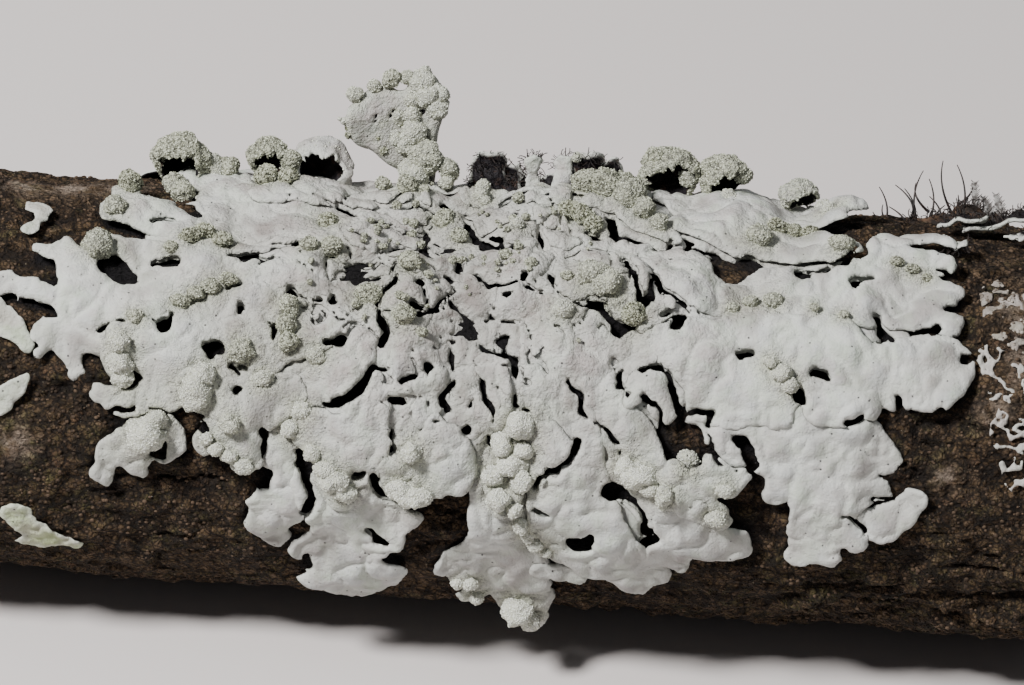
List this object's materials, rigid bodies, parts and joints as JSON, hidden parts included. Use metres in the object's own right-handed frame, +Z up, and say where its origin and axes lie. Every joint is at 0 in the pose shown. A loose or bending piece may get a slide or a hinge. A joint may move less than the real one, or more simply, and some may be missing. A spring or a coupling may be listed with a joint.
{
  "type": "lichen on a twig",
  "caption": "Pale grey leafy lichen with cracked, lobed fronds and powdery hooded tips, wrapped over the top of a rough brown cut length of twig that lies on its flattened underside",
  "frame": {"origin": "on the resting surface, under the middle of the bounding box of the whole piece", "axes": "+X along the twig towards its thicker end; +Z up from the surface it lies on; -Y is the side that shows the lichen's main face"},
  "size_m": [0.072, 0.0281, 0.0314],
  "materials": {
    "bark": "rough, flaking, matt brown bark with greenish algae",
    "lobes": "smooth matt pale grey skin with tiny black dots, black underneath",
    "old_thallus": "wrinkled and cracked matt pinkish grey",
    "powdery_lobes": "matt, covered with pale granules at the tips",
    "crust": "thin chalky crust, matt",
    "green_lichen": "matt pale yellow-green skin",
    "rhizines": "black root hairs and felt under the lobes"
  },
  "bodies": {
    "root": {"crust_grey": "crust", "crust_white": "crust", "curl_top_brown": "powdery_lobes", "curl_top_left": "powdery_lobes", "curl_top_right": "powdery_lobes", "erect_lobe": "powdery_lobes", "hood_far_left": "powdery_lobes", "hood_far_right": "powdery_lobes", "hood_left": "powdery_lobes", "hood_left_arch": "powdery_lobes", "hood_right": "powdery_lobes", "hood_right_arch": "powdery_lobes", "lichen_scrap_green": "green_lichen", "lichen_scrap_left": "green_lichen", "lichen_scrap_left_low": "green_lichen", "lichen_scrap_lobed": "green_lichen", "lobe_back_centre": "lobes", "lobe_back_far_left": "lobes", "lobe_back_far_right": "lobes", "lobe_back_left": "lobes", "lobe_back_left_low": "lobes", "lobe_back_right": "lobes", "lobe_back_right_low": "lobes", "lobe_centre_left": "lobes", "lobe_far_left": "lobes", "lobe_front_curl": "lobes", "lobe_front_hanging": "lobes", "lobe_front_left": "lobes", "lobe_front_right": "lobes", "lobe_front_shield": "lobes", "lobe_left_beads": "lobes", "lobe_left_hump": "lobes", "lobe_left_low": "lobes", "lobe_left_middle": "lobes", "lobe_low_left": "lobes", "lobe_low_left_tongue": "lobes", "lobe_low_right": "lobes", "lobe_low_right_bead": "lobes", "lobe_mid_right": "lobes", "lobe_overturned": "powdery_lobes", "lobe_overturned_small": "powdery_lobes", "lobe_right_fingers": "lobes", "lobe_right_flake": "lobes", "lobe_right_foot": "lobes", "lobe_right_low": "lobes", "lobe_right_tip": "lobes", "lobe_right_tongue": "lobes", "lobe_right_upper": "lobes", "lobe_top_ascending": "powdery_lobes", "lobe_top_band": "lobes", "lobe_top_ridge": "lobes", "lobe_top_right": "lobes", "lobe_upper_left": "lobes", "thallus_back": "old_thallus", "thallus_centre": "old_thallus", "twig": "bark"}
  },
  "joints": []
}
